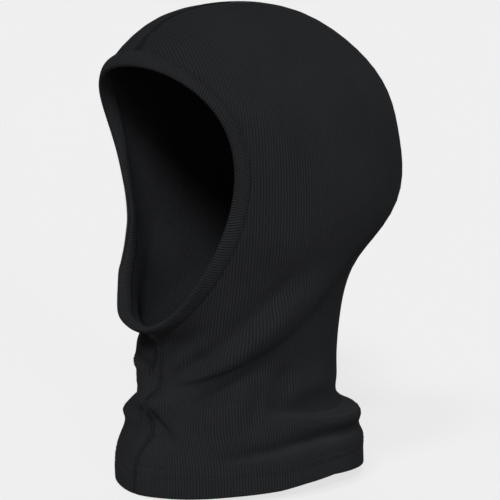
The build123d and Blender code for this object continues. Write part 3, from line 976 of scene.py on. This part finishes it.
def knit(name, pitch, course, dark, light):
    """Black rib knit: V-shaped loops stacked in columns, fibre fuzz, uneven dye, painted shade in
    the grooves between the ribs, and painted light that makes the inner face paler.
    """
    m = Nodes(name)
    across, along = m.chart()
    spot = m.new("ShaderNodeTexCoord").outputs["Object"]
    column = m.math("MULTIPLY", across, 1000 / pitch)
    lean = m.math("FRACT", m.math("ADD", column, 0.5))
    lean = m.math("ABSOLUTE", m.math("SUBTRACT", lean, 0.5))
    drift = m.math("MULTIPLY", m.noise(spot, 380.0, 2.0), 0.7)
    row = m.math("MULTIPLY", along, 1000 / course)
    row = m.math("ADD", row, m.math("MULTIPLY", lean, 1.3))
    loops = m.math("SINE", m.math("MULTIPLY", m.math("ADD", row, drift), 2 * math.pi))
    loops = m.math("MULTIPLY_ADD", loops, 0.5, 0.5)
    # painted shade: rib is 1 on a rib and 0 in a groove, so the colour is darker in the grooves,
    # on top of the shading the ribs' relief gives
    rib = m.math("COSINE", m.math("MULTIPLY", column, 2 * math.pi))
    rib = m.math("MULTIPLY_ADD", rib, 0.5, 0.5)
    fuzz = m.noise(spot, 2600.0, 5.0, 0.7)
    wear = m.noise(spot, 24.0, 4.0, 0.6)
    tone = m.math("ADD", m.math("MULTIPLY", wear, 0.34), m.math("MULTIPLY", fuzz, 0.24))
    # painted shade: the loops show only on the ribs, and the rib term darkens the grooves
    tone = m.math("ADD", tone, m.math("MULTIPLY", m.math("MULTIPLY", loops, rib), 0.22))
    tone = m.math("ADD", tone, m.math("MULTIPLY", rib, 0.34))
    # painted light: the inner face of the knit is coloured a little paler than the outer one, to
    # light the inside of the hood
    place = m.new("ShaderNodeNewGeometry")
    spoke = m.new("ShaderNodeVectorMath", operation="MULTIPLY_ADD")
    m.link(place.outputs["Position"], spoke.inputs[0])
    spoke.inputs[1].default_value, spoke.inputs[2].default_value = (1, 1, 0.5), (0, 0, -0.08)
    facing = m.new("ShaderNodeVectorMath", operation="DOT_PRODUCT")
    m.link(place.outputs["Normal"], facing.inputs[0])
    m.link(spoke.outputs[0], facing.inputs[1])
    inner = m.math("LESS_THAN", facing.outputs["Value"], 0.0)
    paler = m.new("ShaderNodeVectorMath", operation="SCALE")
    m.link(m.ramp(tone, [(0.20, dark), (0.86, light)]), paler.inputs[0])
    m.link(m.math("MULTIPLY_ADD", inner, INNER_PAINTED_LIGHT, 1.0), paler.inputs["Scale"])
    m.link(paler.outputs[0], m.shader.inputs["Base Color"])
    rough = m.math("MULTIPLY_ADD", fuzz, 0.16, 0.78)
    m.link(rough, m.shader.inputs["Roughness"])
    height = m.math("ADD", m.math("MULTIPLY", loops, 0.55), m.math("MULTIPLY", fuzz, 0.55))
    m.link(m.bump(height, LOOP_HEIGHT, 0.8), m.shader.inputs["Normal"])
    m.shader.inputs["Specular IOR Level"].default_value = 0.03
    m.shader.inputs["Sheen Weight"].default_value = 0.02
    m.shader.inputs["Sheen Roughness"].default_value = 0.45
    m.shader.inputs["Sheen Tint"].default_value = (0.80, 0.88, 1.0, 1.0)
    return m.mat


def thread(name, dark, light):
    """Spun polyester thread: fine twist and a soft sheen."""
    m = Nodes(name)
    spot = m.new("ShaderNodeTexCoord").outputs["Object"]
    wave = m.new("ShaderNodeTexWave", bands_direction="DIAGONAL")
    wave.inputs["Scale"].default_value = 900.0
    wave.inputs["Distortion"].default_value = 1.5
    m.link(spot, wave.inputs["Vector"])
    mixed = m.math("ADD", m.math("MULTIPLY", wave.outputs["Fac"], 0.5),
                   m.math("MULTIPLY", m.noise(spot, 1400.0), 0.5))
    m.link(m.ramp(mixed, [(0.2, dark), (0.8, light)]), m.shader.inputs["Base Color"])
    m.link(m.bump(wave.outputs["Fac"], TWIST_HEIGHT, 0.8), m.shader.inputs["Normal"])
    m.shader.inputs["Roughness"].default_value = 0.5
    m.shader.inputs["Specular IOR Level"].default_value = 0.06
    m.shader.inputs["Sheen Weight"].default_value = 0.04
    return m.mat


def label_cloth():
    """Close plain weave of matt ribbon."""
    m = Nodes("label_ribbon")
    spot = m.new("ShaderNodeTexCoord").outputs["Object"]
    warp, weft = [m.math("SINE", m.math("MULTIPLY", way, 2 * math.pi / WEAVE_PITCH))
                  for way in m.chart()]
    weave = m.math("MULTIPLY_ADD", m.math("MULTIPLY", warp, weft), 0.5, 0.5)
    tone = m.math("ADD", m.math("MULTIPLY", weave, 0.5),
                  m.math("MULTIPLY", m.noise(spot, 90.0, 4.0), 0.5))
    m.link(m.ramp(tone, [(0.2, (0.020, 0.020, 0.022)), (0.85, (0.040, 0.041, 0.044))]),
           m.shader.inputs["Base Color"])
    m.link(m.bump(weave, WEAVE_HEIGHT, 0.7), m.shader.inputs["Normal"])
    m.shader.inputs["Roughness"].default_value = 0.62
    m.shader.inputs["Sheen Weight"].default_value = 0.1
    return m.mat


RIB = knit("black_rib_knit", RIB_PITCH, 1.35,
           (0.0135, 0.0140, 0.0153), (0.0320, 0.0332, 0.0362))
TRIM = knit("black_band_knit", BAND_PITCH, 1.2,
            (0.0140, 0.0145, 0.0158), (0.0330, 0.0342, 0.0373))
THREAD = thread("black_thread", (0.013, 0.0135, 0.0147), (0.031, 0.0322, 0.035))
LABEL = label_cloth()

pieces = [
    (panel_left, RIB, "left_side_panel", "rib_knit"),
    (panel_right, RIB, "right_side_panel", "rib_knit"),
    (band, TRIM, "face_binding", "rib_band"),
    (crown_out, THREAD, "crown_seam_outer", "seam_thread"),
    (crown_in, THREAD, "crown_seam_inner", "seam_thread"),
    (throat_out, THREAD, "throat_seam_outer", "seam_thread"),
    (throat_in, THREAD, "throat_seam_inner", "seam_thread"),
    (topstitch, THREAD, "binding_topstitch", "seam_thread"),
    (overlock, THREAD, "binding_overlock", "seam_thread"),
    (band_join, THREAD, "binding_join_stitch", "seam_thread"),
    (hem_upper, THREAD, "hem_stitch_upper", "seam_thread"),
    (hem_lower, THREAD, "hem_stitch_lower", "seam_thread"),
    (hem_inside, THREAD, "hem_stitch_inside", "seam_thread"),
    (label, LABEL, "care_label", "label_cloth"),
    (label_tack, THREAD, "label_stitch", "seam_thread"),
]
for piece, material, node, slot in pieces:
    piece.data.materials.clear()
    piece.data.materials.append(material)
    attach(piece, "root")
    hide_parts(node)

# ---- floor, light and camera ----
FLOOR_REACH = 200.0             # metres each way: far enough to meet the pale horizon
FLOOR_GLOW = 0.72               # lit from below, like a light table
floor_mesh = bpy.data.meshes.new("floor")
floor_mesh.from_pydata([(x * FLOOR_REACH, y * FLOOR_REACH, 0)
                        for x, y in ((-1, -1), (1, -1), (1, 1), (-1, 1))], [], [(0, 1, 2, 3)])
floor = bpy.data.objects.new("floor", floor_mesh)
bpy.context.collection.objects.link(floor)
paper = Nodes("pale_floor")
paper.shader.inputs["Base Color"].default_value = (0.35, 0.35, 0.35, 1)
paper.shader.inputs["Emission Color"].default_value = (1, 1, 1, 1)
paper.shader.inputs["Emission Strength"].default_value = FLOOR_GLOW
paper.shader.inputs["Roughness"].default_value = 0.9
paper.shader.inputs["Specular IOR Level"].default_value = 0.0
floor_mesh.materials.append(paper.mat)
floor.visible_diffuse = False       # the studio floor doesn't fill the shadows

world = bpy.data.worlds.new("studio")
bpy.context.scene.world = world
world.use_nodes = True
wt = world.node_tree
direction = wt.nodes.new("ShaderNodeTexCoord")
split = wt.nodes.new("ShaderNodeSeparateXYZ")
ramp = wt.nodes.new("ShaderNodeValToRGB")
wt.links.new(direction.outputs["Generated"], split.inputs[0])
upward = wt.nodes.new("ShaderNodeMath")
upward.operation = "MULTIPLY_ADD"
upward.inputs[1].default_value = upward.inputs[2].default_value = 0.5
wt.links.new(split.outputs[2], upward.inputs[0])
wt.links.new(upward.outputs[0], ramp.inputs[0])
wt.links.new(ramp.outputs[0], wt.nodes["Background"].inputs["Color"])
# grey from straight down (0) to straight up (1): pale only near the horizon
SKY = ((0.0, 0.03), (0.47, 0.03), (0.495, 0.863), (0.53, 0.863),
       (0.58, 0.04), (0.82, 0.03), (1.0, 0.05))
fill_ramp(ramp.color_ramp, [(at, (grey, grey, grey)) for at, grey in SKY])
wt.nodes["Background"].inputs["Strength"].default_value = 1.0


def sun(name, azimuth, elevation, strength, spread):
    """Soft distant light; azimuth 0 shines from the front, 90 from the hood's left."""
    data = bpy.data.lights.new(name, "SUN")
    data.energy = strength
    data.angle = math.radians(spread)
    obj = bpy.data.objects.new(name, data)
    bpy.context.collection.objects.link(obj)
    a, e = math.radians(azimuth), math.radians(elevation)
    obj.rotation_euler = Vector((math.sin(a) * math.cos(e), -math.cos(a) * math.cos(e),
                                 math.sin(e))).to_track_quat("Z", "Y").to_euler()


sun("main", 50, 30, 1.14, 12)
sun("high", 28, 48, 0.54, 14)
sun("low", 70, 12, 0.40, 14)
sun("back", -128, 30, 0.2, 30)

VIEW_AZIMUTH, VIEW_ELEVATION, DISTANCE = math.radians(52), math.radians(7), 1.3
MIDDLE = 0.152                  # metres: about half the hood's height
target = Vector((0, ORIGIN_SHIFT * MM, MIDDLE + RISE_TOP * MM))
toward = Vector((math.sin(VIEW_AZIMUTH) * math.cos(VIEW_ELEVATION),
                 -math.cos(VIEW_AZIMUTH) * math.cos(VIEW_ELEVATION), math.sin(VIEW_ELEVATION)))
camera_data = bpy.data.cameras.new("camera")
camera_data.lens = 136.2
camera_data.sensor_width = 36.0
camera_data.shift_x, camera_data.shift_y = 0.028, 0.006
camera_data.clip_end = 200
camera = bpy.data.objects.new("camera", camera_data)
bpy.context.collection.objects.link(camera)
camera.location = target + toward * DISTANCE
camera.rotation_euler = toward.to_track_quat("Z", "Y").to_euler()
bpy.context.scene.camera = camera
bpy.context.scene.view_settings.view_transform = "Standard"
